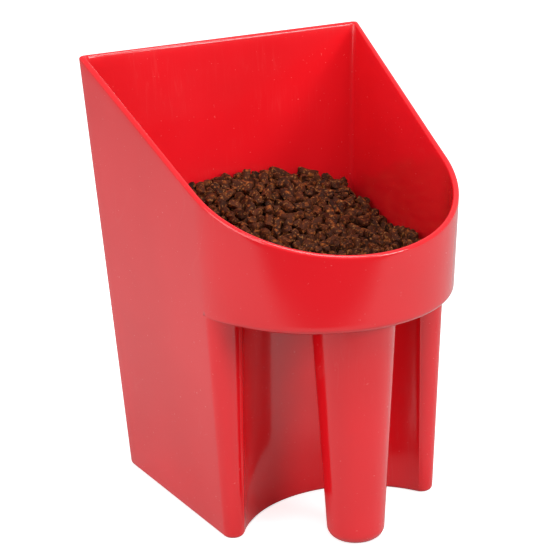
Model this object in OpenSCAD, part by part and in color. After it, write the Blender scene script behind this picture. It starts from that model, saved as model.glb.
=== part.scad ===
// Feed scoop: a one-piece moulded plastic cup with a flat back, a slanted rim, a rounded
// front and a tapered grip that stands in a finger bay under the front.
// The moulding is divided into its named walls, which meet face to face.
// +X is the user's right when the grip faces the user, -Y is the grip side, +Z is up.
// The origin is at the centre of the footprint box, on the surface that the scoop stands on.

/* [Overall] */
// Height of the back wall
total_h = 210; // [180:1:260]
// Radius of the rounded front, taken at the height of the back rim
front_r = 66; // [54:0.5:80]
// Distance from the centre of the rounded front to the outside of the back wall, at the rim
back_reach = 101; // [80:1:125]

/* [Walls] */
// Thickness of every wall
wall = 2.8; // [2.4:0.1:3.6]
// Thickness of the bottom plate
floor_t = 3; // [2:0.1:4]
// Lean of the side walls and of the rounded front, narrower at the bottom
side_draft = 2.6; // [1:0.1:4]
// Lean of the back wall, in degrees
back_draft = 3; // [1:0.1:4]
// Angle by which each side wall turns in toward the front, seen from above
plan_taper = 4.9; // [0:0.1:7]
// Outside radius of the upright back corners
corner_r = 2.5; // [1.5:0.1:5]
// Inside radius of the upright back corners
inner_corner_r = 2; // [1:0.1:5]
// Rounding of the bottom edge and of the lip under the front
edge_r = 2.2; // [1:0.1:2.3]

/* [Rim] */
// Downward slope of the straight part of the rim, in degrees
rim_slope = 22.4; // [10:0.1:32]
// Height lost from the back rim to the front of the rim
rim_drop = 63; // [45:1:80]
// Distance behind the centre of the rounded front at which the rim starts to level out
rim_bend = 10; // [0:1:30]

/* [Finger bay] */
// Height of the underside of the shelf above the grip
shelf_z = 111.5; // [90:0.5:135]
// Thickness of the shelf above the grip
shelf_t = 2.8; // [2:0.1:4]
// Radius of the corner posts at the bottom
post_r_low = 5.4; // [4:0.1:9]
// Radius of the corner posts under the shelf
post_r_high = 9; // [7:0.1:13]
// Distance of the post centres in front of the centre of the rounded front
post_ahead = 6.5; // [0:0.5:15]
// Distance of the centre of the bay's hollow in front of the centre of the rounded front
bay_ahead = 41; // [28:0.5:45]

/* [Grip] */
// Radius of the grip at its foot
grip_r_low = 13.2; // [11:0.1:16]
// Radius of the grip under the shelf
grip_r_high = 19.3; // [16:0.1:23]
// Distance of the grip's axis in front of the centre of the rounded front
grip_ahead = 33; // [30:0.5:38]
// Rounding of the grip's foot
grip_foot_r = 5; // [3:0.1:7]

/* [Feed] */
// Clearance between the feed and every wall
feed_gap = 0.5; // [0.4:0.1:1]
// Height of the feed at the middle of the back wall
feed_back_h = 145; // [135:1:170]
// Fall of the feed's surface per millimetre, next to the back wall
feed_fall = 0.12; // [0:0.01:0.3]
// Extra fall toward the front, per square millimetre
feed_curve = 0.0025; // [0:0.0001:0.004]
// Fall toward the side walls, per square millimetre
feed_crown = 0.0024; // [0:0.0001:0.004]
// Least depth of feed over the shelf
feed_cover = 3; // [1:0.5:10]

/* [Hidden] */

red = [0.85, 0.09, 0.12];
brown = [0.42, 0.24, 0.14];

past = 1;         // how far a cut runs past the faces that it goes through
round_fn = 96;    // sides of the round grip
rim_r = wall / 2; // the rim is a full round
shelf_top = shelf_z + shelf_t;
front_rim_h = total_h - rim_drop;

// Outside reach of the front arc and of the back wall at a height, from the arc's centre
function reach(z) = front_r - tan(side_draft) * (total_h - z);
function back_out(z) = back_reach - tan(back_draft) * (total_h - z);

// The arc's centre, placed so that the footprint box is centred on the origin
arc_y = (reach(front_rim_h - rim_r) - back_out(total_h - rim_r)) / 2;
bay_y = arc_y - bay_ahead;
grip_y = arc_y - grip_ahead;

// ---- Outline of the scoop at any height -------------------------------------------------
// Every outline is made of stations. Each station gives a point for a height z and an inset
// from the outside face, for the right-hand half: x is positive.

// A point of the side wall's plane with the given y
function side_x(y, z, inset) =
    (reach(z) - inset + (y - arc_y) * sin(plan_taper)) / cos(plan_taper);

// Centre and radius of the upright back corner
function corner_radius(inset) = corner_r + (inner_corner_r - corner_r) * inset / wall;
function corner_y(z, inset) = arc_y + back_out(z) - inset - corner_radius(inset);
function corner_x(z, inset) = side_x(corner_y(z, inset), z, inset + corner_radius(inset));

// Back wall: t goes from the middle (0) to the corner (1)
function back_pt(t, z, inset) = [t * corner_x(z, inset), arc_y + back_out(z) - inset, z];

// Back corner: t goes from the back wall (0) to the side wall (1)
function corner_pt(t, z, inset) =
    let (a = 90 - t * (90 + plan_taper), r = corner_radius(inset))
    [corner_x(z, inset) + r * cos(a), corner_y(z, inset) + r * sin(a), z];

// Side wall: t goes from the corner (0) to the plane through the arc's centre (1)
function side_pt(t, z, inset) =
    let (a = corner_pt(1, z, inset), b = [side_x(arc_y, z, inset), arc_y, z])
    a + t * (b - a);

// Rounded front: t goes from the side wall (0) to the middle of the front (1)
function front_pt(t, z, inset) =
    let (a = -plan_taper - t * (90 - plan_taper), r = reach(z) - inset)
    [r * cos(a), arc_y + r * sin(a), z];

// Corner post: its radius grows with height, and it is tangent to the side wall
function post_r(z) = post_r_low + (post_r_high - post_r_low) * z / shelf_z;
function post_x(z) = side_x(arc_y - post_ahead, z, post_r(z));
function post_turn(z) = atan2(bay_ahead - post_ahead, post_x(z));
function post_pt(t, z, inset) =
    let (a = -plan_taper - t * (180 - post_turn(z) - plan_taper), r = post_r(z) - inset)
    [post_x(z) + r * cos(a), arc_y - post_ahead + r * sin(a), z];

// Hollow of the finger bay: tangent to both posts, t goes from the post (0) to the middle (1)
function bay_r(z) = norm([post_x(z), bay_ahead - post_ahead]) - post_r(z);
function bay_pt(t, z, inset) =
    let (a = post_turn(z) + t * (90 - post_turn(z)), r = bay_r(z) + inset)
    [r * cos(a), bay_y + r * sin(a), z];

// A station is [kind, t, side]: side is 1 on the right and -1 on the left
BACK = 0;
CORNER = 1;
SIDE = 2;
FRONT = 3;
POST = 4;
BAY = 5;
function half_pt(kind, t, z, inset) =
    kind == BACK ? back_pt(t, z, inset)
    : kind == CORNER ? corner_pt(t, z, inset)
    : kind == SIDE ? side_pt(t, z, inset)
    : kind == FRONT ? front_pt(t, z, inset)
    : kind == POST ? post_pt(t, z, inset)
    : bay_pt(t, z, inset);
function at(s, z, inset) = let (p = half_pt(s[0], s[1], z, inset)) [s[2] * p.x, p.y, p.z];

function run(kind, n, side = 1, from = 0) = [for (i = [from:n]) [kind, i / n, side]];
function flip(stations) =
    [for (i = [len(stations) - 1:-1:0]) [stations[i][0], stations[i][1], -stations[i][2]]];

// ---- Rim --------------------------------------------------------------------------------
// Height of the rim at a given y: level over the back wall, straight down the sides, and
// levelling out along a parabola round the front
rim_level_y = arc_y + back_out(total_h) - wall;
rim_bend_y = arc_y + rim_bend;
rim_bend_h = total_h - tan(rim_slope) * (rim_level_y - rim_bend_y);
rim_run = rim_bend_y - (arc_y - reach(front_rim_h) + rim_r);
rim_ease = (front_rim_h - rim_bend_h + tan(rim_slope) * rim_run) / pow(rim_run, 2);
function rim_h(y) =
    y > rim_level_y ? total_h
    : y > rim_bend_y ? total_h - tan(rim_slope) * (rim_level_y - y)
    : rim_bend_h - tan(rim_slope) * (rim_bend_y - y) + rim_ease * pow(rim_bend_y - y, 2);

// Height of the rim at a station: the wall leans, so the height is found in three steps
function rim_at(s) =
    let (a = rim_h(at(s, total_h, rim_r).y), b = rim_h(at(s, a, rim_r).y))
    rim_h(at(s, b, rim_r).y);

// ---- Solids from sections ----------------------------------------------------------------
edge_steps = 4;
rim_steps = 6;

// Outside of a rounded lower edge that starts at height z
function edge_loop(s, z, r) =
    [for (i = [0:edge_steps])
        let (a = 90 * i / edge_steps) at(s, z + r * (1 - cos(a)), r * (1 - sin(a)))];

// Full round over the rim, from the outside to the inside
function rim_loop(s) =
    [for (i = [0:rim_steps])
        let (a = 180 * i / rim_steps) at(s, rim_at(s) - rim_r * (1 - sin(a)), rim_r * (1 - cos(a)))];

// Cut through a wall that runs from height z to the rim
function rim_section(s, z, r) = concat(edge_loop(s, z, r), rim_loop(s), [at(s, z, wall)]);

// Cut through a wall that runs from the ground to the shelf
function low_section(s) =
    concat(edge_loop(s, 0, edge_r), [at(s, shelf_z, 0), at(s, shelf_z, wall), at(s, 0, wall)]);

// Solid through a row of sections, each with the same number of points
module strip(sections) {
    n = len(sections);
    m = len(sections[0]);
    points = [for (s = sections) each s];
    skin = [for (i = [0:n - 2]) for (j = [0:m - 1])
        let (a = i * m + j, b = i * m + (j + 1) % m, c = b + m, d = a + m) each [[a, b, c], [a, c, d]]];
    first = [for (j = [m - 1:-1:0]) j];
    last = [for (j = [0:m - 1]) (n - 1) * m + j];
    polyhedron(points, concat(skin, [first, last]), convexity = 10);
}

// Solid between rings that are stacked upward. Each end is closed by a flat cap, or by a fan
// of faces to a point: the foot below and the peak above
module stack(rings, foot = undef, peak = undef) {
    n = len(rings);
    m = len(rings[0]);
    points = concat([for (r = rings) each r], [is_undef(foot) ? rings[0][0] : foot],
                    [is_undef(peak) ? rings[0][0] : peak]);
    skin = [for (i = [0:n - 2]) for (j = [0:m - 1])
        let (a = i * m + j, b = i * m + (j + 1) % m, c = b + m, d = a + m) each [[a, c, b], [a, d, c]]];
    bottom = is_undef(foot) ? [[for (j = [0:m - 1]) j]]
        : [for (j = [0:m - 1]) [j, (j + 1) % m, n * m]];
    top = is_undef(peak) ? [[for (j = [m - 1:-1:0]) (n - 1) * m + j]]
        : [for (j = [0:m - 1]) [(n - 1) * m + (j + 1) % m, (n - 1) * m + j, n * m + 1]];
    polyhedron(points, concat(skin, bottom, top), convexity = 10);
}

// ---- Walls of the moulding -----------------------------------------------------------------
corner_n = 5;
side_n = 8;
post_n = 12;
bay_n = 14;
front_n = post_n + bay_n;

side_stations = run(SIDE, side_n);
front_stations = concat([[SIDE, 1, 1]], run(FRONT, front_n));
function back_half(n) = concat(run(BACK, n, from = 1), run(CORNER, corner_n, from = 1));
post_stations = concat([[SIDE, 1, 1]], run(POST, post_n));
bay_half = run(BAY, bay_n);

function both(stations) = concat(stations, flip([for (i = [0:len(stations) - 2]) stations[i]]));

module back_wall() {
    color(red) strip([for (s = concat(flip(back_half(1)), back_half(1))) rim_section(s, 0, edge_r)]);
}

module side_wall() {
    strip([for (s = side_stations) rim_section(s, 0, edge_r)]);
}

module right_side_wall() {
    color(red) side_wall();
}

module left_side_wall() {
    color(red) mirror([1, 0, 0]) side_wall();
}

// The lip under the apron grows out of the flush side wall over the first part of the turn
lip_grow = 0.25;
lip_start_r = 0.01;
function lip_r(s) = s[0] == SIDE ? lip_start_r : max(lip_start_r, edge_r * min(1, s[1] / lip_grow));

module front_apron() {
    color(red) strip([for (s = both(front_stations)) rim_section(s, shelf_z, lip_r(s))]);
}

module corner_post() {
    strip([for (s = post_stations) low_section(s)]);
}

module right_corner_post() {
    color(red) corner_post();
}

module left_corner_post() {
    color(red) mirror([1, 0, 0]) corner_post();
}

module bay_wall() {
    color(red) strip([for (s = both(bay_half)) low_section(s)]);
}

// ---- Plates ----------------------------------------------------------------------------------
// Right half of the inside outline below the shelf and above it, from the back to the front,
// with nb stations on the back wall and ns on the side wall
function low_half(nb, ns) =
    concat(back_half(nb), run(SIDE, ns, from = 1), run(POST, post_n), run(BAY, bay_n, from = 1));
function high_half(nb, ns) = concat(back_half(nb), run(SIDE, ns, from = 1), run(FRONT, front_n));

function ring(stations, z, inset) = [for (s = both(stations)) at(s, z, inset)];

module bottom_plate() {
    color(red) stack([ring(low_half(1, 1), 0, wall), ring(low_half(1, 1), floor_t, wall)]);
}

// The shelf fills the crescent between the apron and the inside of the posts and the bay wall
shelf_outer = run(FRONT, front_n);
shelf_inner = concat(run(POST, post_n, from = 1), run(BAY, bay_n, from = 1));
function shelf_ring(z) =
    concat([for (s = both(shelf_outer)) at(s, z, wall)],
           [for (s = flip(both(shelf_inner))) let (p = at(s, z, wall)) [-p.x, p.y, p.z]]);

module grip_shelf() {
    color(red) difference() {
        stack([shelf_ring(shelf_z), shelf_ring(shelf_top)]);
        translate([0, grip_y, shelf_z - past])
            cylinder(h = shelf_t + 2 * past, r = grip_r_high - wall, $fn = round_fn);
    }
}

// ---- Grip --------------------------------------------------------------------------------------
grip_lean = atan((grip_r_high - grip_r_low) / shelf_z);
grip_foot_steps = 8;
grip_inner_foot_r = max(1, grip_foot_r - wall);
function grip_r(z) = grip_r_low + z * tan(grip_lean);

// Quarter round at a foot: r is the body's radius at the ground, z the height of its underside
function foot_arc(r, z, round) =
    [for (i = [0:grip_foot_steps])
        let (a = 90 * i / grip_foot_steps) [r - round + round * sin(a), z + round * (1 - cos(a))]];

module grip_post() {
    outside = foot_arc(grip_r(grip_foot_r), 0, grip_foot_r);
    inside = foot_arc(grip_r(wall + grip_inner_foot_r) - wall, wall, grip_inner_foot_r);
    color(red) translate([0, grip_y, 0]) rotate_extrude($fn = round_fn)
        polygon(concat([[0, 0]], outside, [[grip_r_high, shelf_z], [grip_r_high - wall, shelf_z]],
                       [for (i = [grip_foot_steps:-1:0]) inside[i]], [[0, wall]]));
}

// ---- Feed ----------------------------------------------------------------------------------------
feed_inset = wall + feed_gap;
feed_foot = floor_t + feed_gap;
feed_step = shelf_top + feed_gap;
feed_step_rise = 0.2;   // the underside over the shelf rises this much, so that no face lies flat on a ring
feed_rings = 6;
feed_back_n = 6;
feed_low = low_half(feed_back_n, side_n);
feed_high = high_half(feed_back_n, side_n);
feed_foot_back = 8;     // distance of the middle of the underside from the back of the feed

// Height of the feed's surface
function feed_h(x, y) =
    let (d = arc_y + back_out(feed_back_h) - feed_inset - y)
    max(feed_step + feed_cover, feed_back_h - feed_fall * d - feed_curve * d * d - feed_crown * x * x);

// The wall leans, so the edge of the feed is found in two steps
function feed_edge(s) =
    let (a = at(s, feed_back_h, feed_inset), b = at(s, feed_h(a.x, a.y), feed_inset))
    at(s, feed_h(b.x, b.y), feed_inset);
feed_mid = [0, arc_y];
function feed_in(s, k) =
    let (p = feed_edge(s), x = p.x * k, y = feed_mid.y + (p.y - feed_mid.y) * k) [x, y, feed_h(x, y)];

module feed_heap() {
    surface_rings = [for (i = [0:feed_rings - 1]) [for (s = both(feed_high)) feed_in(s, 1 - i / feed_rings)]];
    color(brown)
        stack(concat([ring(feed_low, feed_foot, feed_inset), ring(feed_low, feed_step, feed_inset),
                      ring(feed_high, feed_step + feed_step_rise, feed_inset)], surface_rings),
              foot = [0, arc_y + back_out(feed_foot) - feed_inset - feed_foot_back, feed_foot],
              peak = [feed_mid.x, feed_mid.y, feed_h(feed_mid.x, feed_mid.y)]);
}

module grip_feed() {
    foot = wall + feed_gap;
    round = grip_inner_foot_r;
    outside = foot_arc(grip_r(foot + round) - wall - feed_gap, foot, round);
    color(brown) translate([0, grip_y, 0]) rotate_extrude($fn = round_fn)
        polygon(concat([[0, foot]], outside, [[grip_r_high - wall - feed_gap, shelf_z],
                       [grip_r_high - wall - feed_gap, feed_step], [0, feed_step]]));
}

back_wall();
left_side_wall();
right_side_wall();
front_apron();
grip_shelf();
left_corner_post();
right_corner_post();
bay_wall();
bottom_plate();
grip_post();
feed_heap();
grip_feed();
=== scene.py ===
# %% [markdown]
# # A feed scoop full of pellets
# The scoop is one injection moulding in glossy red plastic: a flat back wall, two side walls, a
# slanted rim, a rounded front, and a tapered grip that stands in a finger bay. The engineering
# model holds its walls as separate solids. Light shows every joint on gloss, so this lesson makes
# the walls again as one unbroken skin, and fills the cup with loose pellets one by one.

# %% The frame and the tools
import math

import bmesh
import bpy
import mathutils
import mathutils.kdtree
import numpy as np
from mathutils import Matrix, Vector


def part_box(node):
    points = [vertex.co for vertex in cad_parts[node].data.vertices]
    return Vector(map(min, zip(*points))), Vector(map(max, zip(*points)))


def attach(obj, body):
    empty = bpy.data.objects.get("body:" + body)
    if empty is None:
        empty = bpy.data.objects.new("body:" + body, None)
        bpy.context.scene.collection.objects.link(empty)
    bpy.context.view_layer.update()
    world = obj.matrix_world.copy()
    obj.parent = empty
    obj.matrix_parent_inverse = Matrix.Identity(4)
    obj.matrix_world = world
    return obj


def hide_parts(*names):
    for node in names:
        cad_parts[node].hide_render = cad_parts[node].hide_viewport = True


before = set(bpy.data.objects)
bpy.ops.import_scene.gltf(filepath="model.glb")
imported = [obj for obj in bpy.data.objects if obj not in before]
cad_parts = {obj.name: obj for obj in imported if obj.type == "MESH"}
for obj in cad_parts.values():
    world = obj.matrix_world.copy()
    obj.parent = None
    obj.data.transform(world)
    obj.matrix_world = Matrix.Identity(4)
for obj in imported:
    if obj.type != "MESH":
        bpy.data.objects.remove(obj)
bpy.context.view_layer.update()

# %% [markdown]
# ## The sizes of the moulding
# A moulding is drawn from a few numbers: heights, radii, one wall thickness, and the draft angles
# that let it slide off its core. The frame gives the heights that it knows, and the rest are the
# design's own values. Everything here is in millimetres until a mesh is made.

# %% Driving sizes
MM = 0.001
total_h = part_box("back_wall")[1][2] / MM
shelf_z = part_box("grip_shelf")[0][2] / MM
shelf_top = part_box("grip_shelf")[1][2] / MM
floor_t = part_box("bottom_plate")[1][2] / MM
front_r = 66.0
back_reach = 101.0
wall = 2.8
side_draft = math.radians(2.6)
back_draft = math.radians(3.0)
plan_taper = math.radians(4.9)
corner_r = 2.5
inner_corner_r = 2.0
edge_r = 2.2
rim_slope = math.tan(math.radians(22.4))
rim_drop = 63.0
rim_bend = 10.0
post_r_low = 5.4
post_r_high = 9.0
post_ahead = 6.5
bay_ahead = 41.0
grip_r_low = 13.2
grip_r_high = 19.3
grip_ahead = 33.0
grip_foot_r = 5.0
rim_r = wall / 2
front_rim_h = total_h - rim_drop
print("height", total_h, "shelf from", shelf_z, "to", shelf_top, "floor", floor_t)

# %% [markdown]
# ## The outline, seen from above
# Every wall leans by its draft, so the outline is a function of height. It is also a function of
# the inset from the outside face, which gives the inside of the wall. One half is enough, because
# the scoop mirrors left to right. Each stretch is a function of t, which runs from 0 to 1 along it.

# %% The walls of the cup


def reach(z):
    """Outside radius of the rounded front: the rim's radius less the draft times the depth."""
    return front_r - math.tan(side_draft) * (total_h - z)


def back_out(z):
    """Distance of the back wall's outside from the centre of the rounded front."""
    return back_reach - math.tan(back_draft) * (total_h - z)


arc_y = (reach(front_rim_h - rim_r) - back_out(total_h - rim_r)) / 2
bay_y = arc_y - bay_ahead
grip_y = arc_y - grip_ahead


def side_x(y, z, inset):
    """Plane of a side wall, tangent to the rounded front and turned by the plan taper."""
    return (reach(z) - inset + (y - arc_y) * math.sin(plan_taper)) / math.cos(plan_taper)


def corner_radius(inset):
    """Corner radius, blended from the outside value to the inside value across the wall."""
    return corner_r + (inner_corner_r - corner_r) * inset / wall


def corner_centre(z, inset):
    """Centre of the upright back corner: one corner radius in from both walls."""
    y = arc_y + back_out(z) - inset - corner_radius(inset)
    return side_x(y, z, inset + corner_radius(inset)), y


def back_point(t, z, inset):
    """Back wall: a straight line from the middle to the corner."""
    return t * corner_centre(z, inset)[0], arc_y + back_out(z) - inset + 0 * t


def corner_point(t, z, inset):
    """Back corner: a circle turned from the back wall's direction to the side wall's."""
    x, y = corner_centre(z, inset)
    a = math.pi / 2 - t * (math.pi / 2 + plan_taper)
    return x + corner_radius(inset) * np.cos(a), y + corner_radius(inset) * np.sin(a)


def side_point(t, z, inset):
    """Side wall: a straight line from the corner's end to the plane through the front's centre."""
    x, y = corner_point(1.0, z, inset)
    return x + t * (side_x(arc_y, z, inset) - x), y + t * (arc_y - y)


def front_point(t, z, inset):
    """Rounded front: a circle turned from the side wall to the middle."""
    a = -plan_taper - t * (math.pi / 2 - plan_taper)
    r = reach(z) - inset
    return r * np.cos(a), arc_y + r * np.sin(a)


print("the rounded front is centred at y =", round(arc_y, 2), "and the grip at y =", round(grip_y, 2))

# %% [markdown]
# ## The posts and the finger bay
# Below the shelf the front is hollowed out for the fingers. A round post stands at each side of the
# hollow, tangent to the side wall, and the bay is a circle that is tangent to both posts. Because
# every circle is tangent to the next one, no corner shows where they meet.

# %% The outline below the shelf


def post_radius(z):
    """Radius of a corner post, growing evenly from the ground to the shelf."""
    return post_r_low + (post_r_high - post_r_low) * z / shelf_z


def post_x(z):
    """Centre of a corner post, which is tangent to the side wall."""
    return side_x(arc_y - post_ahead, z, post_radius(z))


def post_turn(z):
    """Direction from the bay's centre to the post's centre."""
    return np.arctan2(bay_ahead - post_ahead, post_x(z))


def post_point(t, z, inset):
    """Corner post: a circle turned from the side wall round to the finger bay."""
    a = -plan_taper - t * (math.pi - post_turn(z) - plan_taper)
    r = post_radius(z) - inset
    return post_x(z) + r * np.cos(a), arc_y - post_ahead + r * np.sin(a)


def bay_point(t, z, inset):
    """Finger bay: a hollow circle, tangent to both posts."""
    a = post_turn(z) + t * (math.pi / 2 - post_turn(z))
    r = np.hypot(post_x(z), bay_ahead - post_ahead) - post_radius(z) + inset
    return r * np.cos(a), bay_y + r * np.sin(a)


print("a post is centred at x =", round(float(post_x(shelf_z)), 2), "under the shelf")

# %% [markdown]
# ## The slanted rim
# The rim is level over the back wall, falls in a straight line down the sides, and levels out
# along a parabola round the front, so that feed pours off the middle. A wall leans, so a point of
# the rim depends on its own height: a few rounds of trial settle it.

# %% Height of the rim
rim_level_y = arc_y + back_out(total_h) - wall
rim_bend_y = arc_y + rim_bend
rim_bend_h = total_h - rim_slope * (rim_level_y - rim_bend_y)
rim_run = rim_bend_y - (arc_y - reach(front_rim_h) + rim_r)
rim_ease = (front_rim_h - rim_bend_h + rim_slope * rim_run) / rim_run ** 2
RIM_TRIALS = 3


def rim_height(y):
    """Level, then a straight slope, then the slope plus a square of the distance past the bend."""
    ahead = rim_bend_y - y
    straight = total_h - rim_slope * (rim_level_y - y)
    curve = rim_bend_h - rim_slope * ahead + rim_ease * ahead ** 2
    return np.where(y > rim_level_y, total_h, np.where(y > rim_bend_y, straight, curve))


def rim_at(point, t):
    """Height of the rim at t on a stretch of the outline."""
    z = total_h + 0 * t
    for _ in range(RIM_TRIALS):
        z = rim_height(point(t, z, rim_r)[1])
    return z


print("rim from", total_h, "down to", round(float(rim_at(front_point, np.array([1.0]))[0]), 1))

# %% [markdown]
# ## Sections through the wall
# At each place along the outline the wall is cut, and the cut is walked round: along the foot, up
# the outside, over the rim, down the inside. A cut is two rows of numbers, height and inset. All
# cuts of one strip have the same number of points, so the strip is a plain grid, and the strips
# share their points where they meet. That makes one closed skin, with no seam in its reflections.

# %% Pieces of a section
FOOT_STEPS = 7
LOW_STEPS = 12
HIGH_STEPS = 20
RIM_STEPS = 14
FILLET_STEPS = 6
floor_fillet = 2.5
shelf_fillet = 2.5
lip_round = 2.7
lip_start = 0.02
lip_grow = 0.3
flare = 3.5


def ramp(n):
    """n numbers from 0 to 1 as one row."""
    return np.linspace(0, 1, n)[None, :]


def mix(a, b, k):
    """Straight blend from a to b."""
    return a + (b - a) * k


def foot_part(r):
    """Quarter round at the foot: flat underside first, then round to the upright face."""
    a = math.pi / 2 * ramp(FOOT_STEPS)
    return r * (1 - np.cos(a)), r * (1 - np.sin(a))


def rim_part(rim_z):
    """Half round over the top of the wall."""
    a = math.pi * ramp(RIM_STEPS)
    return rim_z - rim_r * (1 - np.sin(a)), rim_r * (1 - np.cos(a)) + 0 * rim_z


def fillet_part(z, r):
    """Hollow quarter round from the inside face to a floor at height z."""
    a = math.pi / 2 * ramp(FILLET_STEPS)
    return z + r * (1 - np.sin(a)), wall + r * (1 - np.cos(a))


def section(*parts):
    """Joins (heights, insets) parts into two arrays: one line per station, one column per point."""
    rows = max(np.shape(value)[0] for part in parts for value in part)
    spread = [np.broadcast_arrays(*part, np.zeros((rows, 1))) for part in parts]
    return [np.concatenate([part[i] for part in spread], 1) for i in (0, 1)]


def column(value):
    """One number as a column of its own."""
    return np.array([[float(value)]])


print("the rim's half round has a radius of", rim_r, "and", RIM_STEPS, "points")

# %% [markdown]
# ## Three strips make the moulding
# The first strip is the back and the sides, from the ground to the rim. The second is the apron,
# which starts at the shelf. The third is the posts and the finger bay, which end under the shelf.
# Where the apron leaves the side wall its lip has no radius, and it grows to its full size over
# the first part of the turn. The posts and the bay flare out into the underside of the shelf.

# %% Sections of each strip
fractions = ramp(HIGH_STEPS)[:, 1:]
low_fractions = ramp(LOW_STEPS)[:, 1:]


def tall_section(rim_z):
    """Ground to rim and back down to the floor."""
    foot_z, foot_inset = foot_part(edge_r)
    return section((column(0), column(wall)), (foot_z, foot_inset),
                   (mix(edge_r, shelf_z, low_fractions), column(0)),
                   (mix(shelf_z, rim_z - rim_r, fractions), column(0)),
                   rim_part(rim_z),
                   (mix(rim_z - rim_r, shelf_top, fractions), column(wall)),
                   (column(shelf_z), column(wall)),
                   (mix(shelf_z, floor_t + floor_fillet, low_fractions), column(wall)),
                   fillet_part(floor_t, floor_fillet))


def apron_section(rim_z, t):
    """Lip to rim and back down to the shelf."""
    k = np.clip((t - lip_start) / lip_grow, 0, 1)
    grow = k * k * (3 - 2 * k)
    lip_z, lip_inset = foot_part(lip_round * grow)
    return section((column(shelf_z), column(wall)), (shelf_z + lip_z, lip_inset),
                   (mix(shelf_z + lip_round * grow, rim_z - rim_r, fractions), column(0)),
                   rim_part(rim_z),
                   (mix(rim_z - rim_r, shelf_top + shelf_fillet * grow, fractions), column(wall)),
                   fillet_part(shelf_top, shelf_fillet * grow))


def low_section(flare_r):
    """Ground to shelf, flaring into its underside, and back down to the floor."""
    foot_z, foot_inset = foot_part(edge_r)
    a = math.pi / 2 * ramp(FILLET_STEPS)
    return section((column(0), column(wall)), (foot_z, foot_inset),
                   (mix(edge_r, shelf_z - flare_r, low_fractions), column(0)),
                   (shelf_z - flare_r * (1 - np.sin(a)), -flare_r * (1 - np.cos(a))),
                   (column(shelf_z), column(wall)),
                   (mix(shelf_z, floor_t + floor_fillet, low_fractions), column(wall)),
                   fillet_part(floor_t, floor_fillet))


print("a section of the tall wall has", tall_section(column(total_h))[0].size, "points")

# %% [markdown]
# ## From sections to a mesh
# A strip is a grid of points: one row for each place on the outline, one column for each point of
# the section. Numbering the grid gives its quads. Then one pass welds the rows that the strips
# share, drops faces without an area, and turns all faces outward.

# %% Grids and pieces
WELD_MM = 0.004
SMOOTH_UP_TO = 38


def grid_quads(rows, columns, wrap=True):
    """Quads of a grid that is numbered row by row; wrap joins the last column to the first."""
    across = columns if wrap else columns - 1
    i, j = np.meshgrid(np.arange(rows - 1), np.arange(across), indexing="ij")
    right = (j + 1) % columns
    corners = [i * columns + j, i * columns + right, (i + 1) * columns + right, (i + 1) * columns + j]
    return np.stack(corners, -1).reshape(-1, 4)


def strip_grid(point, t, cut):
    """Points of a strip: each section's heights and insets, put at its place on the outline."""
    z, inset = cut
    x, y = point(t, z, inset)
    return np.stack([x + 0 * z, y + 0 * z, z], -1)


def mirrored(points):
    """The same points on the other side of the scoop."""
    return points * np.array([-1.0, 1.0, 1.0])


def finished(name, mesh, smooth_up_to):
    """Shades a mesh smooth across edges up to an angle, and puts it into the scene."""
    mesh.polygons.foreach_set("use_smooth", np.ones(len(mesh.polygons), bool))
    mesh.set_sharp_from_angle(angle=math.radians(smooth_up_to))
    piece = bpy.data.objects.new(name, mesh)
    bpy.context.scene.collection.objects.link(piece)
    return piece


def build(name, grids, wrap=True):
    """Makes one object from grids of points: welds what coincides and turns all faces outward."""
    points, quads, start = [], [], 0
    for grid in grids:
        rows, columns = grid.shape[:2]
        points.append(grid.reshape(-1, 3))
        quads.append(grid_quads(rows, columns, wrap) + start)
        start += rows * columns
    mesh = bpy.data.meshes.new(name)
    mesh.from_pydata((np.concatenate(points) * MM).tolist(), [], np.concatenate(quads).tolist())
    work = bmesh.new()
    work.from_mesh(mesh)
    bmesh.ops.remove_doubles(work, verts=work.verts, dist=WELD_MM * MM)
    bmesh.ops.dissolve_degenerate(work, edges=work.edges, dist=WELD_MM * MM / 4)
    bmesh.ops.recalc_face_normals(work, faces=work.faces)
    open_edges = sum(1 for e in work.edges if len(e.link_faces) != 2)
    work.to_mesh(mesh)
    work.free()
    print(name, len(mesh.polygons), "faces,", open_edges, "edges without two faces")
    return finished(name, mesh, SMOOTH_UP_TO)


example = grid_quads(3, 4)
print("a grid of 3 rows and 4 columns has", len(example), "quads when it wraps round")

# %% [markdown]
# ## The witness line on the posts
# The two halves of the mould close along the corner posts, and leave a hair-thin raised line
# there. It is a small bump of the inset, a bell curve along the post, and the sections stand
# closer together around it so that the curve is smooth.

# %% Posts with their line
POST_N = 40
WITNESS_N = 11
witness_t = 0.9
witness_width = 0.012
witness_height = 0.16
witness_span = 2.5
skin_depth = 0.5
line_fade = 2.0
flare_share = 0.4


def stations(n):
    """n + 1 places along a stretch, as a column."""
    return np.linspace(0, 1, n + 1)[:, None]


def post_ridge_point(t, z, inset):
    """Corner post with its witness line: a bell curve on the outside face only."""
    outside = np.clip(1 - np.abs(inset) / skin_depth, 0, 1) * np.clip((z - edge_r) / line_fade, 0, 1)
    ridge = witness_height * np.exp(-((t - witness_t) / witness_width) ** 2)
    return post_point(t, z, inset - ridge * outside)


around_witness = witness_t + witness_width * np.linspace(-witness_span, witness_span, WITNESS_N)[:, None]
post_t = np.sort(np.concatenate([stations(POST_N), around_witness]), 0)
post_x_top, post_y_top = post_point(post_t, shelf_z, 0.0)
post_gap = reach(shelf_z) - np.hypot(post_x_top, post_y_top - arc_y)
post_flare = np.clip(flare_share * post_gap, 0, flare)
print("a post has", len(post_t), "sections and flares by up to", round(float(post_flare.max()), 2))

# %% [markdown]
# ## The whole skin
# Each stretch gets as many sections as its curve needs. The apron and the post both begin on the
# last line of the side wall, so each gets one section there, and the strips weld without a gap.
# The right half is worked out, and the left half is its mirror.

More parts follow.
